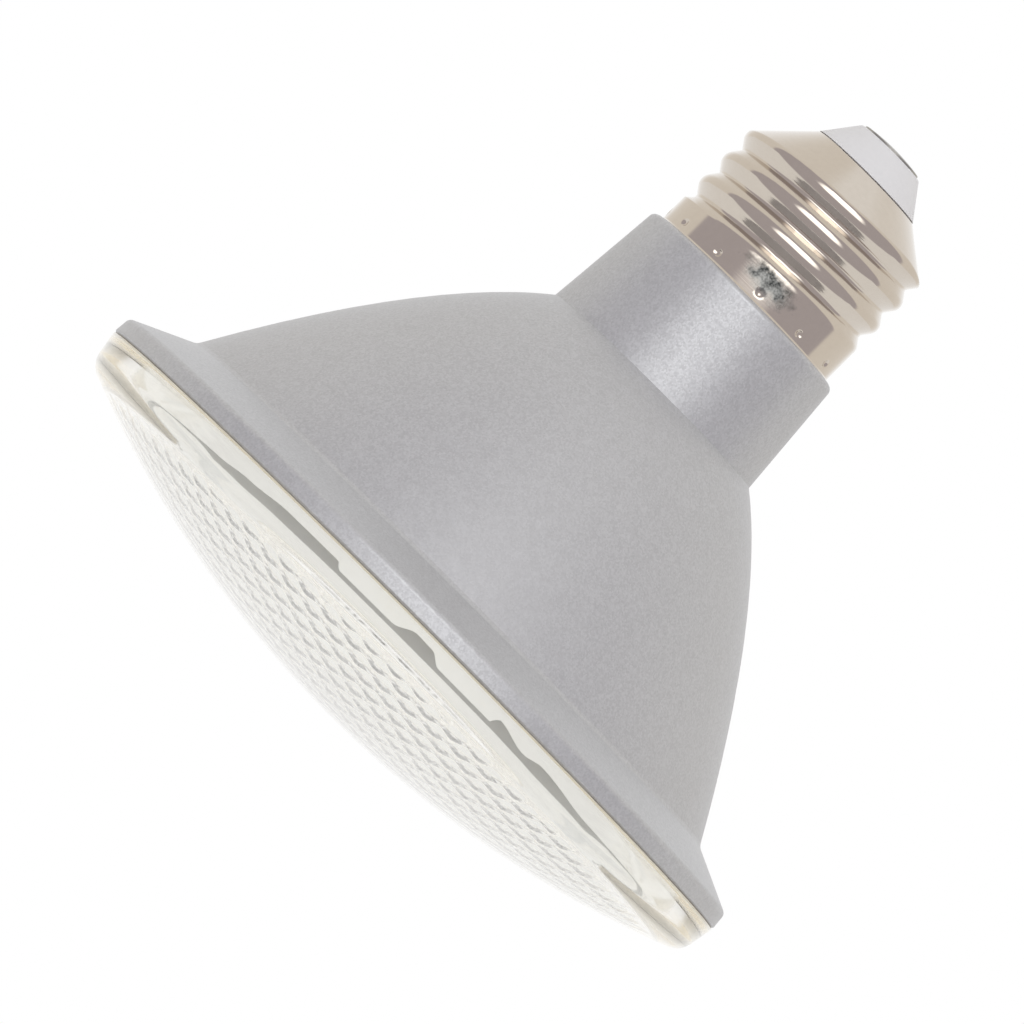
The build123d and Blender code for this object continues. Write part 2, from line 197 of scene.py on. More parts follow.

# %% [markdown]
# A soft box over the camera adds a little modelling from above. An area lamp is one-sided, so it shines on
# the lamp and stays out of the picture. The floor is a flat sheet well below the lamp.

# %% The soft box and the floor
BOX_DISTANCE = 1.3
BOX_LIFT = 40.0
BOX_SIZE = 0.6
BOX_RADIANCE = 0.8
FLOOR_DROP = 0.25
FLOOR_HALF = 2.0

soft_box = bpy.data.objects.new("soft_box", bpy.data.lights.new("soft_box", "AREA"))
bpy.context.scene.collection.objects.link(soft_box)
soft_box.data.size = BOX_SIZE
soft_box.data.energy = BOX_RADIANCE * math.pi * BOX_SIZE**2
lift = math.radians(BOX_LIFT)
soft_box.location = AIM + BOX_DISTANCE * Vector((0, -math.cos(lift), math.sin(lift)))
soft_box.rotation_euler = (soft_box.location - AIM).to_track_quat("Z", "Y").to_euler()
print("soft box power in W:", round(soft_box.data.energy, 2))

floor_mesh = bpy.data.meshes.new("floor")
low = cad_box[0].z - FLOOR_DROP
corners = [(x * FLOOR_HALF, y * FLOOR_HALF, low) for x, y in ((-1, -1), (1, -1), (1, 1), (-1, 1))]
floor_mesh.from_pydata(corners, [], [(0, 1, 2, 3)])
floor = bpy.data.objects.new("floor", floor_mesh)
bpy.context.scene.collection.objects.link(floor)
print("floor at", round(low, 3), "m")

# %% [markdown]
# The moulded and plated pieces all start from the same network: the colour wanders between two close values
# over patches of one real size, the roughness follows, and a fine relief of the same grain breaks the shine.

# %% The common surface
GRAIN_DETAIL = 3.0
ROUGH_SPREAD = (0.85, 1.15)


def noise(tree, place, grain_mm, detail):
    inputs = {"Vector": place, "Scale": 1 / (grain_mm * MM), "Detail": detail}
    return add(tree, "ShaderNodeTexNoise", inputs).outputs[0]


def surface(name, colours, grain_mm, roughness, relief_mm=0.0, metallic=0.0):
    material = bpy.data.materials.new(name)
    material.use_nodes = True
    tree = material.node_tree
    shader = tree.nodes["Principled BSDF"]
    place = add(tree, "ShaderNodeTexCoord").outputs["Object"]
    grain = noise(tree, place, grain_mm, GRAIN_DETAIL)
    blend = {0: grain, 6: linear(colours[0]), 7: linear(colours[1])}
    colour = add(tree, "ShaderNodeMix", blend, data_type="RGBA").outputs[2]
    smoothest, roughest = [roughness * share for share in ROUGH_SPREAD]
    rough = {"Value": grain, "To Min": smoothest, "To Max": roughest}
    tree.links.new(colour, shader.inputs["Base Color"])
    tree.links.new(add(tree, "ShaderNodeMapRange", rough).outputs[0], shader.inputs["Roughness"])
    shader.inputs["Metallic"].default_value = metallic
    if relief_mm:
        bump = {"Height": grain, "Distance": relief_mm * MM, "Strength": 1.0}
        tree.links.new(add(tree, "ShaderNodeBump", bump).outputs[0], shader.inputs["Normal"])
    return material


print("roughness varies between", ROUGH_SPREAD[0], "and", ROUGH_SPREAD[1], "of its value")

# %% [markdown]
# The floor is white paper, which takes the shadow. Glossy and transmitted rays see it as plain white, so the
# lens looks out on white. In front of the paper bright metal mirrors the floor of the room, which is greyer.

# %% White floor paper
PAPER_FRONT = (-0.14, -0.2)

paper = surface("white_floor_paper", ("#f4f4f4", "#fafafa"), 40.0, 0.9)
tree = paper.node_tree
rays = add(tree, "ShaderNodeLightPath").outputs
place = add(tree, "ShaderNodeTexCoord").outputs["Object"]
depth = add(tree, "ShaderNodeSeparateXYZ", {"Vector": place}).outputs["Y"]
limits = {"Value": depth, "From Min": PAPER_FRONT[0], "From Max": PAPER_FRONT[1]}
front = add(tree, "ShaderNodeMapRange", limits).outputs[0]
in_metal = {0: front, 1: rays["Is Glossy Ray"]}
mirrored = add(tree, "ShaderNodeMath", in_metal, operation="MULTIPLY").outputs[0]
tones = {0: mirrored, 6: linear("#ffffff"), 7: linear(ROOM)}
shown = add(tree, "ShaderNodeMix", tones, data_type="RGBA").outputs[2]
glow = add(tree, "ShaderNodeEmission", {"Color": shown, "Strength": 1.0}).outputs[0]
plain_rays = {0: rays["Is Glossy Ray"], 1: rays["Is Transmission Ray"]}
bare = add(tree, "ShaderNodeMath", plain_rays, operation="ADD").outputs[0]
both = {0: bare, 1: tree.nodes["Principled BSDF"].outputs[0], 2: glow}
seen = add(tree, "ShaderNodeMixShader", both).outputs[0]
tree.links.new(seen, tree.nodes["Material Output"].inputs["Surface"])
floor.data.materials.append(paper)
print("floor paper:", len(tree.nodes), "nodes")

# %% [markdown]
# The housing is moulded PBT, sprayed with a lacquer full of aluminium flakes. The flakes lie nearly flat, so
# the paint is a soft mirror with a grain: each flake is one cell of a Voronoi pattern, with a brightness of
# its own and a small tilt of the normal. Real flakes are under 0.1 mm, and they are drawn at 0.2 mm so that
# they show.

# %% Silver lacquer
FLAKE_MM = 0.2
FLAKE_TILT = 0.07
FLAKE_SPREAD = (0.92, 1.08)
PEEL_MM = 1.5

silver = surface("sprayed_silver_lacquer", ("#b6b7b9", "#c0c1c3"), PEEL_MM, 0.45, metallic=0.55)
tree = silver.node_tree
shader = tree.nodes["Principled BSDF"]
place = add(tree, "ShaderNodeTexCoord").outputs["Object"]
flakes = add(tree, "ShaderNodeTexVoronoi", {"Vector": place, "Scale": 1 / (FLAKE_MM * MM)}).outputs["Color"]
centred = add(tree, "ShaderNodeVectorMath", {0: flakes, 1: (0.5, 0.5, 0.5)}, operation="SUBTRACT").outputs[0]
tilt = add(tree, "ShaderNodeVectorMath", {0: centred, "Scale": FLAKE_TILT}, operation="SCALE").outputs[0]
normal = add(tree, "ShaderNodeNewGeometry").outputs["Normal"]
tilted = add(tree, "ShaderNodeVectorMath", {0: normal, 1: tilt}, operation="ADD").outputs[0]
facing = add(tree, "ShaderNodeVectorMath", {0: tilted}, operation="NORMALIZE").outputs[0]
tree.links.new(facing, shader.inputs["Normal"])
chance = add(tree, "ShaderNodeSeparateXYZ", {"Vector": flakes}).outputs["Z"]
limits = {"Value": chance, "To Min": FLAKE_SPREAD[0], "To Max": FLAKE_SPREAD[1]}
gain = add(tree, "ShaderNodeMapRange", limits).outputs[0]
lacquer = shader.inputs["Base Color"].links[0].from_socket
glint = add(tree, "ShaderNodeVectorMath", {0: lacquer, "Scale": gain}, operation="SCALE").outputs[0]
tree.links.new(glint, shader.inputs["Base Color"])
print("silver lacquer:", len(tree.nodes), "nodes")

# %% [markdown]
# The lens is clear polycarbonate, moulded in a polished tool, so it is glass-like with a higher index than
# window glass, and faintly cream where the view runs far through it. Where the lens is bonded to the housing
# there is no air behind it, and the eye sees the bare cream PBT under the bond: those faces are opaque and
# dull. The slit that stays open round the joint lies in shade. Its back wall is grey-brown, painted shade
# with some settled dust, and draws the slit as a fine dark line.

# %% Clear polycarbonate, bond and dust
PC_INDEX = 1.585

# Polished in the mould: clear, with sharp reflections
clear = surface("moulded_clear_polycarbonate", ("#faf9f4", "#fdfcf9"), 6.0, 0.04)
shader = clear.node_tree.nodes["Principled BSDF"]
shader.inputs["Transmission Weight"].default_value = 1.0
shader.inputs["IOR"].default_value = PC_INDEX
# Settled dust with painted shade in the slit: grey-brown and dull
slit_dust_and_shade = surface("dust_and_painted_shade_in_the_joint", ("#8a867d", "#959188"), 0.5, 0.9)
# Plastic wetted by the bond: cream, without any gloss of its own
bonded = surface("bare_pbt_under_the_bond", ("#faf5e8", "#fdf9ee"), 1.0, 0.6)
bonded.node_tree.nodes["Principled BSDF"].inputs["Specular IOR Level"].default_value = 0.0
print("index of the lens:", PC_INDEX)

# %% [markdown]
# The shell is rolled from brass strip and plated with bright nickel: a warm white mirror. Nickel reflects a
# little more red than blue, so the white tent comes back cream. The rolling dies leave fine lines round the
# shell, under 0.1 mm apart on the real one and drawn at 0.2 mm so that they show.

# %% Bright nickel plate
LINE_MM = 0.2
LINE_DETAIL = 1.0
LINE_RELIEF_MM = 0.004

nickel = surface("bright_nickel_on_rolled_brass", ("#c8bfb4", "#cec5ba"), 0.8, 0.09, metallic=1.0)
tree = nickel.node_tree
shader = tree.nodes["Principled BSDF"]
place = add(tree, "ShaderNodeTexCoord").outputs["Object"]
height = add(tree, "ShaderNodeSeparateXYZ", {"Vector": place}).outputs["Z"]
level = add(tree, "ShaderNodeCombineXYZ", {"Z": height}).outputs[0]
lines = noise(tree, level, LINE_MM, LINE_DETAIL)
relief = {"Height": lines, "Distance": LINE_RELIEF_MM * MM, "Strength": 1.0}
tree.links.new(add(tree, "ShaderNodeBump", relief).outputs[0], shader.inputs["Normal"])
print("nickel plate:", len(tree.nodes), "nodes")

# %% [markdown]
# On the front of the collar the plate is rubbed and dull. The dark and bright specks in its colour are
# a painted reflection of the bright light and the camera. A mask could be painted for it, but noise does as
# well. The distance from the middle of the patch, made ragged by clumps, says where the plate is rubbed and
# the reflection painted, and finer specks set the tone there, darker toward the top.

# %% The scuff and painted reflection on the collar
SCUFF_AND_REFLECTION_CENTRE = (0.6, -13.0, 55.4)
SCUFF_AND_REFLECTION_HALF = (4.2, 3.0, 1.9)
SCUFF_AND_REFLECTION_EDGE = (1.55, 0.95)
TONE_FALL_TOWARD_TOP = -0.22
SCUFF_ROUGH = 0.4
CLUMP_MM = 1.1
CLUMP_DETAIL = 2.0
SPECK_MM = 0.25
SPECK_DETAIL = 3.0
SPECK_RANGE = (0.7, 1.3)
REFLECTION_SPECK_TONES = ("#3a3c3b", "#abaca8")

centre = [SCUFF_AND_REFLECTION_CENTRE[0] * MM, SCUFF_AND_REFLECTION_CENTRE[1] * MM, JOINT_Z + SCUFF_AND_REFLECTION_CENTRE[2] * MM]
away = add(tree, "ShaderNodeVectorMath", {0: place, 1: centre}, operation="SUBTRACT").outputs[0]
scaled = {0: away, 1: [1 / (half * MM) for half in SCUFF_AND_REFLECTION_HALF]}
away = add(tree, "ShaderNodeVectorMath", scaled, operation="MULTIPLY").outputs[0]
distance = add(tree, "ShaderNodeVectorMath", {0: away}, operation="LENGTH").outputs["Value"]
clumps = noise(tree, place, CLUMP_MM, CLUMP_DETAIL)
ragged = add(tree, "ShaderNodeMath", {0: distance, 1: clumps}, operation="ADD").outputs[0]
limits = {"Value": ragged, "From Min": SCUFF_AND_REFLECTION_EDGE[0], "From Max": SCUFF_AND_REFLECTION_EDGE[1]}
scuff_and_reflection = add(tree, "ShaderNodeMapRange", limits).outputs[0]
specks = noise(tree, place, SPECK_MM, SPECK_DETAIL)
mottle = add(tree, "ShaderNodeMath", {0: specks, 1: clumps}, operation="ADD").outputs[0]
above = add(tree, "ShaderNodeSeparateXYZ", {"Vector": away}).outputs["Z"]
darker = {0: above, 1: TONE_FALL_TOWARD_TOP, 2: mottle}
shaded = add(tree, "ShaderNodeMath", darker, operation="MULTIPLY_ADD").outputs[0]
limits = {"Value": shaded, "From Min": SPECK_RANGE[0], "From Max": SPECK_RANGE[1]}
pale = add(tree, "ShaderNodeMapRange", limits).outputs[0]
# The dark and bright speck tones are a painted reflection of the bright light and the camera on the rubbed
# plate
tones = {0: pale, 6: linear(REFLECTION_SPECK_TONES[0]), 7: linear(REFLECTION_SPECK_TONES[1])}
reflection_speck = add(tree, "ShaderNodeMix", tones, data_type="RGBA").outputs[2]
plate = shader.inputs["Base Color"].links[0].from_socket
worn_and_reflected = add(tree, "ShaderNodeMix", {0: scuff_and_reflection, 6: plate, 7: reflection_speck}, data_type="RGBA").outputs[2]
tree.links.new(worn_and_reflected, shader.inputs["Base Color"])
smooth = shader.inputs["Roughness"].links[0].from_socket
dull = add(tree, "ShaderNodeMix", {0: scuff_and_reflection, 2: smooth, 3: SCUFF_ROUGH}).outputs[0]
tree.links.new(dull, shader.inputs["Roughness"])
print("nickel plate with its scuff:", len(tree.nodes), "nodes")

# %% [markdown]
# The insulator in the end of the shell is moulded in light grey PBT, with the dull skin that filled plastics
# take from the tool. The other pieces are small, or show only through the lens, so the common surface is
# enough for them. Each row names the material and how it is made, and the comment over it says what that
# gives the eye. Every piece then takes the finish of its slot in the record.

# %% Plastics, metals and finishes of the other pieces
finishes = {
    "silver_paint": silver,
    "clear_polycarbonate": clear,
    "nickel_plate": nickel,
    # Tinned brass: a greyer and softer white than nickel
    "contact_plate": surface("tinned_brass_contact", ("#9a9894", "#aaa8a3"), 0.6, 0.3, 0.01, metallic=1.0),
    # Filled PBT from a fine-eroded tool: matt, almost white
    "insulator_plastic": surface("moulded_light_grey_pbt", ("#d5d6d7", "#dbdbdc"), 0.5, 0.5, 0.01),
    # Vacuum-metallised aluminium over a lacquered moulding: a clean mirror with slight orange peel
    "aluminised_bowl": surface(
        "vacuum_aluminised_moulding", ("#eeeff0", "#f3f4f5"), 1.2, 0.12, 0.004, metallic=1.0
    ),
    # Drawn sheet in plain mill finish: a soft grey sheen
    "sink_aluminium": surface("drawn_aluminium", ("#b4b6b9", "#c2c4c6"), 0.9, 0.38, 0.01, metallic=1.0),
    # White solder mask, screen printed on a metal-core board: satin with a faint mesh grain
    "white_solder_mask": surface("printed_white_solder_mask", ("#eeeeea", "#f6f6f3"), 0.4, 0.45, 0.006),
    # Phosphor in silicone: a yellow, slightly uneven fill
    "led_phosphor": surface("yellow_phosphor_silicone", ("#e5c84a", "#f0d868"), 0.25, 0.35, 0.01),
    # Zinc-plated screws: bluish and bright
    "zinc_steel": surface("zinc_plated_steel", ("#a9adb3", "#bcc0c6"), 0.5, 0.3, 0.01, metallic=1.0),
    # Glass-epoxy laminate under green mask: the weave shows as a fine grain
    "green_laminate": surface("green_glass_epoxy", ("#2c6b3c", "#357a46"), 0.5, 0.4, 0.008),
    # Shrunk PVC sleeve of the capacitors: dark, with a soft shine
    "capacitor_sleeve": surface("shrunk_dark_sleeve", ("#26282c", "#303338"), 1.0, 0.35, 0.01),
    # Potted film capacitor box: mustard yellow and satin
    "film_case": surface("moulded_mustard_case", ("#c79a2e", "#d2a63a"), 0.8, 0.45, 0.01),
    # Sintered ferrite: dark, dull and slightly grainy
    "ferrite": surface("sintered_ferrite", ("#2a2a2b", "#3a3a3c"), 0.3, 0.7, 0.02),
    # Yellow polyester tape over the winding: smooth, with slight wrinkles
    "winding_tape": surface("yellow_polyester_tape", ("#d9b83a", "#e3c44a"), 1.5, 0.3, 0.01),
    # Moulded epoxy packages: black and finely matt
    "black_epoxy": surface("moulded_black_epoxy", ("#1c1c1d", "#262627"), 0.3, 0.55, 0.01),
    # Dipped resistor coating: pale blue, a little uneven
    "resistor_coating": surface("dipped_blue_coating", ("#4f86a8", "#5a92b4"), 0.6, 0.4, 0.01),
    # Extruded silicone insulation of the leads: satin, in three colours
    "red_insulation": surface("extruded_red_silicone", ("#b3262a", "#c03236"), 0.7, 0.5, 0.01),
    "white_insulation": surface("extruded_white_silicone", ("#e6e4df", "#f0eeea"), 0.7, 0.5, 0.01),
    "black_insulation": surface("extruded_black_silicone", ("#1d1d1f", "#28282a"), 0.7, 0.5, 0.01),
}
for row in frame["record"]["subparts"]:
    mesh = nodes[row["node"]].data
    mesh.materials.clear()
    mesh.materials.append(finishes[row["material_slot"]])
print("finishes:", len(finishes))

# %% [markdown]
# The new pieces are turned forms with something added by formula, so one helper is enough: it joins rings of
# points into a closed skin. A ring of one point is a pole on the axis, and a piece without poles closes on
# itself like a tube. Corners sharper than 40 degrees stay crisp and everything else is shaded smooth. Sizes
# are in millimetres from the joint between lens and housing.

# %% A closed skin over rings of points
SHARP_ANGLE = math.radians(40)


def skin(name, rings, slot, node=None):
    vertices = []
    starts = []
    for ring in rings:
        starts.append((len(vertices), len(ring)))
        vertices.extend((x * MM, y * MM, JOINT_Z + h * MM) for x, y, h in ring)
    if len(rings[0]) > 1:
        starts.append(starts[0])
    faces = []
    for (first, count), (second, following) in zip(starts, starts[1:]):
        for k in range(max(count, following)):
            after = (k + 1) % max(count, following)
            if count == 1:
                faces.append((first, second + after, second + k))
            elif following == 1:
                faces.append((first + k, first + after, second))
            else:
                faces.append((first + k, first + after, second + after, second + k))
    mesh = bpy.data.meshes.new(name)
    mesh.from_pydata(vertices, [], faces)
    mesh.shade_smooth()
    mesh.set_sharp_from_angle(angle=SHARP_ANGLE)
    mesh.materials.append(finishes[slot])
    piece = bpy.data.objects.new(name, mesh)
    bpy.context.scene.collection.objects.link(piece)
    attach(piece, "root")
    if node:
        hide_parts(node)
    print(name, "has", len(faces), "faces")
    return piece


def ring_of(radius, height, count):
    turns = [2 * math.pi * k / count for k in range(count)]
    return [(radius * math.cos(turn), radius * math.sin(turn), height) for turn in turns]


print("height of the joint in mm:", round(JOINT_Z / MM, 2))

# %% [markdown]
# The lens is a shallow dome with a smooth face. Its inner face is a lattice of small round pits, the
# fly's-eye pattern that spreads each LED's beam. A displacement texture could press the pits in, but a
# formula for the distance to the nearest pit gives the crisp ridges between them. Toward the rim the pits
# fade out.

# %% Dome, rounds and pits of the lens
LENS_RISE = 13.5
DOME_R = 125.5
PIT_PITCH = 3.75
ROW_STEP = 2.87
ROW_SHIFT = 1.32
PIT_DEPTH = 0.19
PIT_R = 1.7
PITTED_R = 40.6
PIT_FADE = 1.6


def smooth_step(value, low, high):
    share = min(1.0, max(0.0, (value - low) / (high - low)))
    return share * share * (3 - 2 * share)


def dome_height(radius, dome_r):
    return DOME_R - LENS_RISE - math.sqrt(dome_r**2 - radius**2)


def arc_corner(before, corner, after, radius, steps):
    toward_before = (Vector(before) - Vector(corner)).normalized()
    toward_after = (Vector(after) - Vector(corner)).normalized()
    half = toward_before.angle(toward_after) / 2
    centre = Vector(corner) + (toward_before + toward_after).normalized() * radius / math.sin(half)
    start = Vector(corner) + toward_before * radius / math.tan(half) - centre
    end = Vector(corner) + toward_after * radius / math.tan(half) - centre
    return [centre + radius * start.slerp(end, k / steps).normalized() for k in range(steps + 1)]


def pit_depth(x, y):
    nearest = PIT_PITCH
    lower = math.floor((y + ROW_SHIFT) / ROW_STEP)
    for row in (lower, lower + 1):
        stagger = (row + 1) % 2 / 2
        column = round(x / PIT_PITCH - stagger)
        centre = ((column + stagger) * PIT_PITCH, row * ROW_STEP - ROW_SHIFT)
        nearest = min(nearest, math.hypot(x - centre[0], y - centre[1]))
    fade = smooth_step(math.hypot(x, y), PITTED_R + PIT_FADE, PITTED_R)
    return fade * PIT_DEPTH * max(0.0, 1 - (nearest / PIT_R) ** 2)


print("depth of the pits on the axis in mm:", round(pit_depth(0, 0), 3))

# %% [markdown]
# The rings of the lens run from the middle of its face over the rounded edge and up the drafted side, then
# round the tongue that sits in the housing's groove, and back over the pits to the middle of the inside. At
# the top of the side a slit of a tenth of a millimetre stays open. Near the rim the rings lie closer, because
# the eye meets the pits there at a low angle. Last, the faces in the joint get their own finishes.

# %% The lens
RIM_R = 47.68
LENS_WALL = 2.6
LENS_DRAFT = 0.16
LENS_ROUND = 2.8
ROUND_STEPS = 12
EDGE_BAND = 1.0
TANGENT_REACH = 4.0
RING_OUT = 44.78
RING_IN = 43.2
RING_H = 0.78
JOINT_SLIT = 0.12
SLIT_DEPTH = 0.2
BOND_GAP = 0.02
UPRIGHT = 0.5
INNER_ROUND = 0.4
INNER_STEPS = 5
LENS_SIDES = 576
DOME_STEP = 1.5
DOME_RINGS = 28
DOME_MARGIN = 0.5
COARSE_STEP = 0.5
FINE_STEP = 0.3
FINE_R = 30.0

edge = RIM_R + LENS_DRAFT * dome_height(RIM_R - EDGE_BAND, DOME_R)
edge_corner = (edge, dome_height(edge, DOME_R))
inside = (edge - TANGENT_REACH, dome_height(edge - TANGENT_REACH, DOME_R))
rounded = arc_corner(inside, edge_corner, (RIM_R, 0), LENS_ROUND, ROUND_STEPS)
side_slope = (RIM_R - edge) / -edge_corner[1]
slit_in = RIM_R - SLIT_DEPTH
steps = [DOME_STEP * k for k in range(1, DOME_RINGS + 1)]
profile = [(r, dome_height(r, DOME_R)) for r in steps if r < rounded[0][0] - DOME_MARGIN]
profile += [tuple(point) for point in rounded]
profile += [(RIM_R - JOINT_SLIT * side_slope, -JOINT_SLIT), (slit_in, -JOINT_SLIT), (slit_in, -BOND_GAP)]
profile += [(RING_OUT, -BOND_GAP), (RING_OUT, RING_H), (RING_IN, RING_H), (RING_IN, 0)]
rings = [[(0, 0, -LENS_RISE)]] + [ring_of(r, h, LENS_SIDES) for r, h in profile]

inner_dome = DOME_R - LENS_WALL
corner = (RING_IN, dome_height(RING_IN, inner_dome))
inside = (RING_IN - TANGENT_REACH, dome_height(RING_IN - TANGENT_REACH, inner_dome))
rounded = arc_corner((RING_IN, 0), corner, inside, INNER_ROUND, INNER_STEPS)
rings += [ring_of(r, h, LENS_SIDES) for r, h in rounded]
radius = rounded[-1][0] - FINE_STEP
while radius > COARSE_STEP / 2:
    flat = ring_of(radius, dome_height(radius, inner_dome), LENS_SIDES)
    rings.append([(x, y, h - pit_depth(x, y)) for x, y, h in flat])
    radius -= FINE_STEP if radius > FINE_R else COARSE_STEP
rings.append([(0, 0, LENS_WALL - LENS_RISE - pit_depth(0, 0))])
lens = skin("lens_fly_eye", rings, "clear_polycarbonate", "lens")

# Finish 1 is the bond and finish 2 the dust and painted shade on the slit's upright wall
lens.data.materials.append(bonded)
lens.data.materials.append(slit_dust_and_shade)
for face in lens.data.polygons:
    if face.center.z > JOINT_Z - (JOINT_SLIT + BOND_GAP / 2) * MM:
        at_rim = face.center.xy.length > (RIM_R - EDGE_BAND) * MM
        face.material_index = 2 if at_rim and abs(face.normal.z) < UPRIGHT else 1

# %% [markdown]
# A bead of silicone seals the lens to the housing. It was squeezed out as the lens was pressed home, so
# its edges wander. Behind the clear rim it shows as a thin grey stripe, and its grey is painted shade. The
# bump at the front is a painted reflection of the camera, and there are wider runs on both sides. It could be
# sculpted, but a thin ring on the lens's inner wall is enough. Its two edges follow a few listed heights,
# eased from one to the next.

# %% The sealant bead
BEAD_GAP = 0.03
BEAD_THICK = 0.45
BEAD_SLOPE = 0.2
BEAD_SIDES = 720
FRONT_TURN = 270
# The rise of the upper edge near the front, between -6.3 and 3 degrees, is a painted reflection of the camera
# Degrees from the front of the lamp, positive to its left, then the lower and upper edge in mm from the joint
BEAD_EDGES_WITH_REFLECTED_BUMP = (
    (-180, -2.43, -2.4),
    (-64, -2.43, -2.4),
    (-53, -2.365, -2.33),
    (-46, -2.38, -2.22),
    (-40, -2.52, -2.12),
    (-27.5, -2.55, -1.35),
    (-24, -2.5, -1.85),
    (-17.8, -2.45, -1.0),
    (-17, -2.45, -1.95),
    (-6.3, -2.42, -1.95),
    (-3.9, -2.42, -0.92),
    (-0.8, -2.42, -0.85),
    (3, -2.42, -1.95),
    (13.6, -2.42, -1.95),
    (14.6, -2.45, -1.25),
    (25, -2.5, -1.25),
    (33, -2.56, -1.7),
    (40, -2.52, -2.12),
    (46, -2.38, -2.22),
    (53, -2.365, -2.33),
    (64, -2.43, -2.4),
    (180, -2.43, -2.4),
)


def bead_edges(angle):
    for before, after in zip(BEAD_EDGES_WITH_REFLECTED_BUMP, BEAD_EDGES_WITH_REFLECTED_BUMP[1:]):
        if before[0] <= angle <= after[0]:
            share = smooth_step(angle, before[0], after[0])
            return [a + (b - a) * share for a, b in zip(before[1:], after[1:])]


# Cured in the open air: grey as painted shade, satin and a little uneven
sealant = surface("grey_silicone_as_painted_shade", ("#b2b4b3", "#bbbdbc"), 0.8, 0.4, 0.01)
wall = RING_IN - BEAD_GAP
rings = [[], [], [], []]
for k in range(BEAD_SIDES):
    angle = 360 * k / BEAD_SIDES - 180
    low_edge, high_edge = bead_edges(angle)
    turn = math.radians(FRONT_TURN - angle)
    thick = min(BEAD_THICK, high_edge - low_edge)
    slope = BEAD_SLOPE * thick
    section = [(wall, low_edge), (wall, high_edge)]
    section += [(wall - thick, high_edge - slope), (wall - thick, low_edge + slope)]
    for ring, (radius, height) in zip(rings, section):
        ring.insert(0, (radius * math.cos(turn), radius * math.sin(turn), height))
bead = skin("sealant_bead", rings, "white_insulation")
# The grey silicone replaces the slot's white one, and its grey is painted shade
bead.data.materials[0] = sealant

# %% [markdown]
# The screw shell is thin sheet, rolled to a knuckle thread: a broad arc over each crest, straight flanks and
# a tight arc in each root. A helix could be swept, but here the radius is a formula of angle and height, so
# that the ridge can grow out of the collar and run out under the shoulder. Angles are counted in turns from
# the start of the thread, so that a height and an angle say how far along the thread a point lies.

# %% The knuckle thread
COLLAR_R = 13.0
CREST_R = 13.1
ROOT_R = 12.15
PITCH = 25.4 / 7
CREST_ARC = 1.3
ROOT_ARC = 0.3
FLANK = math.radians(36.5)
FIRST_CREST_H = 55.6
THREAD_TURNS = 3.75
CREST_GROWS = (0.4, 1.0)
THREAD_RISES = (-0.15, 0.1)
THREAD_FALLS = (THREAD_TURNS - 0.1, THREAD_TURNS + 0.15)


def ridge_drop(distance):
    crest_half = CREST_ARC * math.sin(FLANK)
    root_start = PITCH / 2 - ROOT_ARC * math.sin(FLANK)
    if distance < crest_half:
        return CREST_ARC - math.sqrt(CREST_ARC**2 - distance**2)
    drop = CREST_ARC * (1 - math.cos(FLANK)) + (min(distance, root_start) - crest_half) * math.tan(FLANK)
    if distance > root_start:
        drop += math.sqrt(ROOT_ARC**2 - (PITCH / 2 - distance) ** 2) - ROOT_ARC * math.cos(FLANK)
    return drop


def thread_radius(around, height):
    along = around + max(0, round((height - FIRST_CREST_H) / PITCH - around))
    crest = COLLAR_R + (CREST_R - COLLAR_R) * smooth_step(along, *CREST_GROWS)
    away = min(PITCH / 2, abs(height - FIRST_CREST_H - along * PITCH))
    rise = max(0.0, crest - ROOT_R - ridge_drop(away))
    ends = smooth_step(along, *THREAD_RISES) * (1 - smooth_step(along, *THREAD_FALLS))
    return ROOT_R + rise * ends


print("drop from crest to root in mm:", round(ridge_drop(PITCH / 2), 2))

# %% [markdown]
# Below the thread lies the collar. It reaches up to the first crest and follows it for half a turn, it flares
# a little at its lower edge, and twelve small dents stake it to the neck. Above the thread a conical shoulder
# closes the shell, wider where the last crest climbs under it. The radius is the larger of collar and thread,
# cut by the shoulder. Rings of it run up the outside and down the inside, one sheet thickness in.

# %% The screw shell
SHEET = 0.3
COLLAR_LOW = 52.75
COLLAR_TOP = 56.35
COLLAR_FALL = 0.7
COLLAR_LEAVES = (0.6, 0.85)
LIP_H = 0.22
LIP_FLARE = 0.2
STAKES = 12
STAKE_H = 53.9
STAKE_REACH = 0.55
STAKE_WALL = 0.3
STAKE_DEPTH = 0.25
STAKE_TURN = math.radians(3.3)
SLANT_LOW = 1.0
SLANT_GAIN = 1.2
SLANT_END = 1.14
SLANT_LEAVES = (0.38, 0.52)
SLANT_RETURNS = (0.5, 1.0)
SHELL_END_R = 7.5
SHELL_END_H = 72.3
THREAD_START = 0.5
SHELL_SIDES = 400
SHELL_STEPS = 170
INNER_SKIP = 3


def stake_dent(turn, height):
    step = 2 * math.pi / STAKES
    beside = ((turn + math.pi / 2 - STAKE_TURN + step / 2) % step - step / 2) * COLLAR_R
    distance = math.hypot(beside, height - STAKE_H)
    return STAKE_DEPTH * min(1.0, max(0.0, (STAKE_REACH - distance) / STAKE_WALL))


def collar_top(around):
    climb = max(0.0, FIRST_CREST_H + around * PITCH - COLLAR_TOP)
    return COLLAR_TOP + climb * (1 - smooth_step(around, *COLLAR_LEAVES))


def shoulder_slant(around):
    climb = SLANT_LOW + SLANT_GAIN * around
    level = SLANT_END + (SLANT_LOW - SLANT_END) * smooth_step(around, *SLANT_RETURNS)
    return climb + (level - climb) * smooth_step(around, *SLANT_LEAVES)


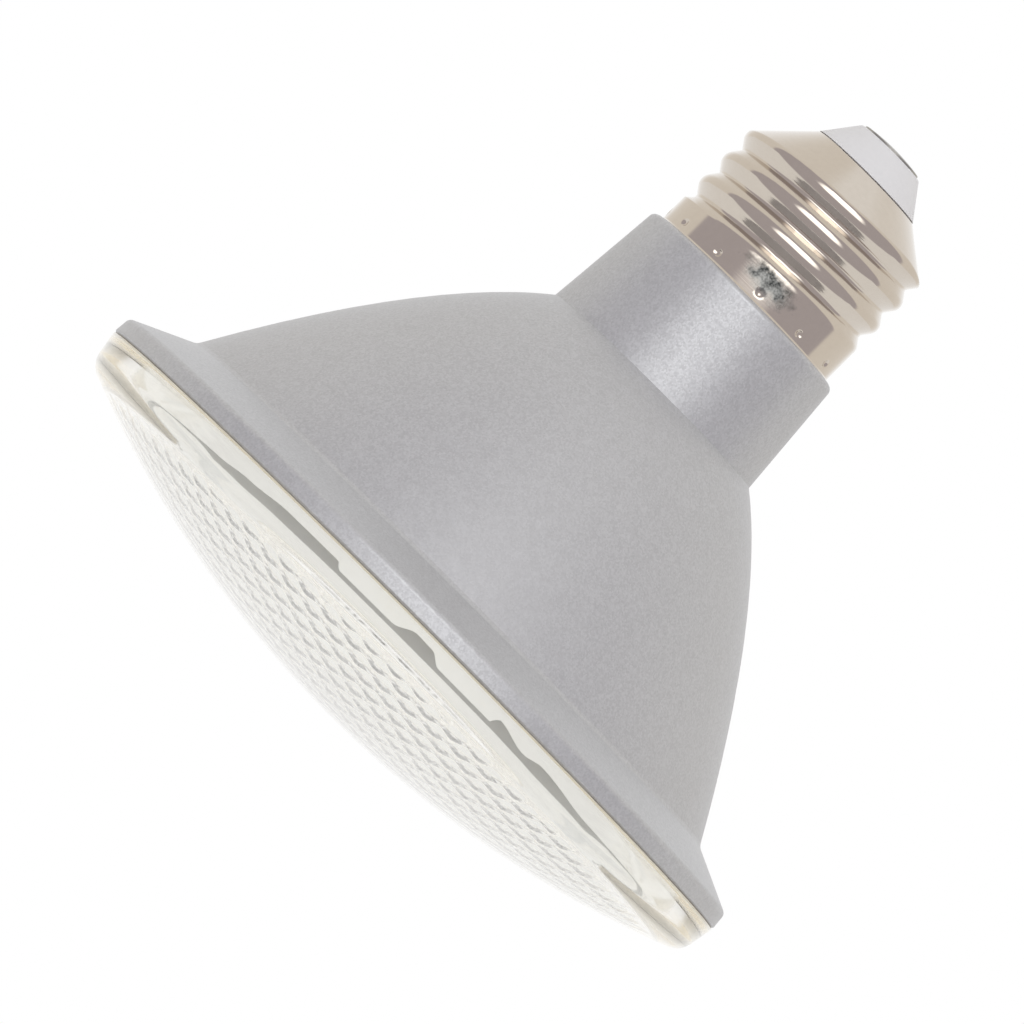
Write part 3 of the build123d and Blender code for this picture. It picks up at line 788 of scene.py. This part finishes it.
def shell_radius(turn, height):
    around = (turn / (2 * math.pi) - THREAD_START) % 1.0
    shoulder = SHELL_END_R + (SHELL_END_H - height) * shoulder_slant(around)
    fall = min(1.0, max(0.0, (height - collar_top(around)) / COLLAR_FALL))
    lip = LIP_FLARE * max(0.0, 1 - (height - COLLAR_LOW) / LIP_H)
    body = COLLAR_R + (ROOT_R - COLLAR_R) * fall + lip - stake_dent(turn, height)
    return min(max(body, thread_radius(around, height)) if fall else body, shoulder)


def shell_ring(height, inset):
    turns = [2 * math.pi * k / SHELL_SIDES for k in range(SHELL_SIDES)]
    radii = [shell_radius(turn, height) - inset for turn in turns]
    return [(r * math.cos(turn), r * math.sin(turn), height) for r, turn in zip(radii, turns)]


heights = [COLLAR_LOW + (SHELL_END_H - COLLAR_LOW) * k / SHELL_STEPS for k in range(SHELL_STEPS + 1)]
heights = sorted(heights + [COLLAR_LOW + LIP_H])
outer = [shell_ring(height, 0) for height in heights]
inner_heights = sorted(set(heights[::INNER_SKIP] + heights[-1:]), reverse=True)
inner = [shell_ring(height, SHEET) for height in inner_heights]
skin("knuckle_thread_shell", outer + inner, "nickel_plate", "screw_shell")

# %% [markdown]
# The insulator is a plain cone with a plug inside the shell. A fine seam stays open between it and the cut
# edge of the shell, and shows as a dark line, so the cone is turned here with that gap. The contact is a thin
# tinned disc with an upright rim and a slightly domed face, on a stem that holds the live wire.

# %% The insulator and the contact
PLUG_R = 8.2
PLUG_H = 69.6
PLUG_SHOULDER = (7.0, 71.75)
SEAM = 0.14
CONE_SLANT = 0.75
TIP_FACE = (4.5, 76.3)
TIP_ROUND = 0.4
TIP_STEPS = 6
STEM_R = 1.3
STEM_H = 71.5
CONTACT_R = 4.1
CONTACT_RIM = 0.25
CONTACT_RISE = 0.59
CONTACT_BEVEL = 0.04
FACE_RINGS = 8
TURNED_SIDES = 192

cone_low = (SHELL_END_R - SEAM * CONE_SLANT, SHELL_END_H + SEAM)
tip_top = TIP_FACE[1]
tip_round = arc_corner(cone_low, TIP_FACE, (STEM_R, tip_top), TIP_ROUND, TIP_STEPS)
profile = [(STEM_R, PLUG_H), (PLUG_R, PLUG_H), (PLUG_R, PLUG_SHOULDER[1] + PLUG_SHOULDER[0] - PLUG_R)]
profile += [PLUG_SHOULDER, (PLUG_SHOULDER[0], cone_low[1]), cone_low]
profile += [tuple(point) for point in tip_round]
profile += [(STEM_R, tip_top)]
skin("base_cone", [ring_of(r, h, TURNED_SIDES) for r, h in profile], "insulator_plastic", "base_insulator")

rim_top = tip_top + CONTACT_RIM
face_r = CONTACT_R - CONTACT_BEVEL
profile = [(STEM_R, STEM_H), (STEM_R, tip_top), (CONTACT_R, tip_top), (CONTACT_R, rim_top - CONTACT_BEVEL)]
for k in range(FACE_RINGS, 0, -1):
    share = k / FACE_RINGS
    profile.append((face_r * share, rim_top + (CONTACT_RISE - CONTACT_RIM) * (1 - share**2)))
rings = [[(0, 0, STEM_H)]] + [ring_of(r, h, TURNED_SIDES) for r, h in profile]
rings.append([(0, 0, tip_top + CONTACT_RISE)])
skin("contact_disc", rings, "contact_plate", "centre_contact")
